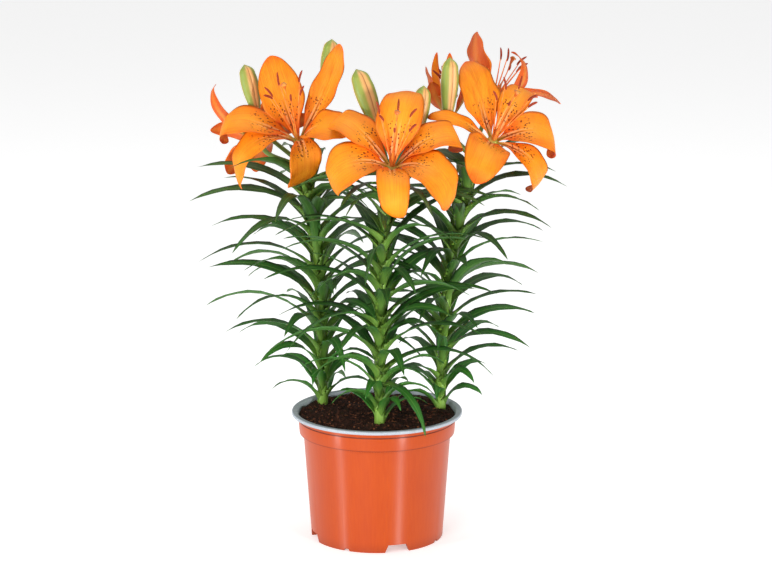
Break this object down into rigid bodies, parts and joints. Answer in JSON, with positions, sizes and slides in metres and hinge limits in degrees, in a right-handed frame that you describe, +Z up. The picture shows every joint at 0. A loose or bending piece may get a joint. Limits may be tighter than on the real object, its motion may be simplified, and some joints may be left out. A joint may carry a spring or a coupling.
{
  "type": "potted lily",
  "caption": "Potted lily: leafy upright stems with open orange trumpet blooms and closed buds, growing from soil in a flared round nursery pot.",
  "frame": {"origin": "centre of the pot's foot, on the surface that it stands on", "axes": "+Z up along the pot's axis, -Y towards the side that the main blooms face, +X to the right of it"},
  "size_m": [0.3738, 0.3244, 0.4933],
  "materials": {
    "pot": "satin, smooth moulded",
    "soil": "crumbly potting mix",
    "stem": "waxy leaf green",
    "tepals": "soft satin petal",
    "stamens": "orange threads, dark red anthers",
    "bud": "waxy, green to peach"
  },
  "bodies": {
    "root": {"pot": "pot", "soil": "soil", "stem_left": "stem", "stem_middle": "stem", "stem_right": "stem", "bloom_middle_front_tepals": "tepals", "bloom_middle_front_stamens": "stamens", "bloom_left_front_tepals": "tepals", "bloom_left_front_stamens": "stamens", "bloom_left_rear_tepals": "tepals", "bloom_left_rear_stamens": "stamens", "bloom_right_front_tepals": "tepals", "bloom_right_front_stamens": "stamens", "bloom_right_rear_left_tepals": "tepals", "bloom_right_rear_left_stamens": "stamens", "bloom_right_rear_right_tepals": "tepals", "bloom_right_rear_right_stamens": "stamens", "bud_middle_left": "bud", "bud_middle_right": "bud", "bud_right_front": "bud", "bud_left_side": "bud", "bud_left_top": "bud"}
  },
  "joints": []
}
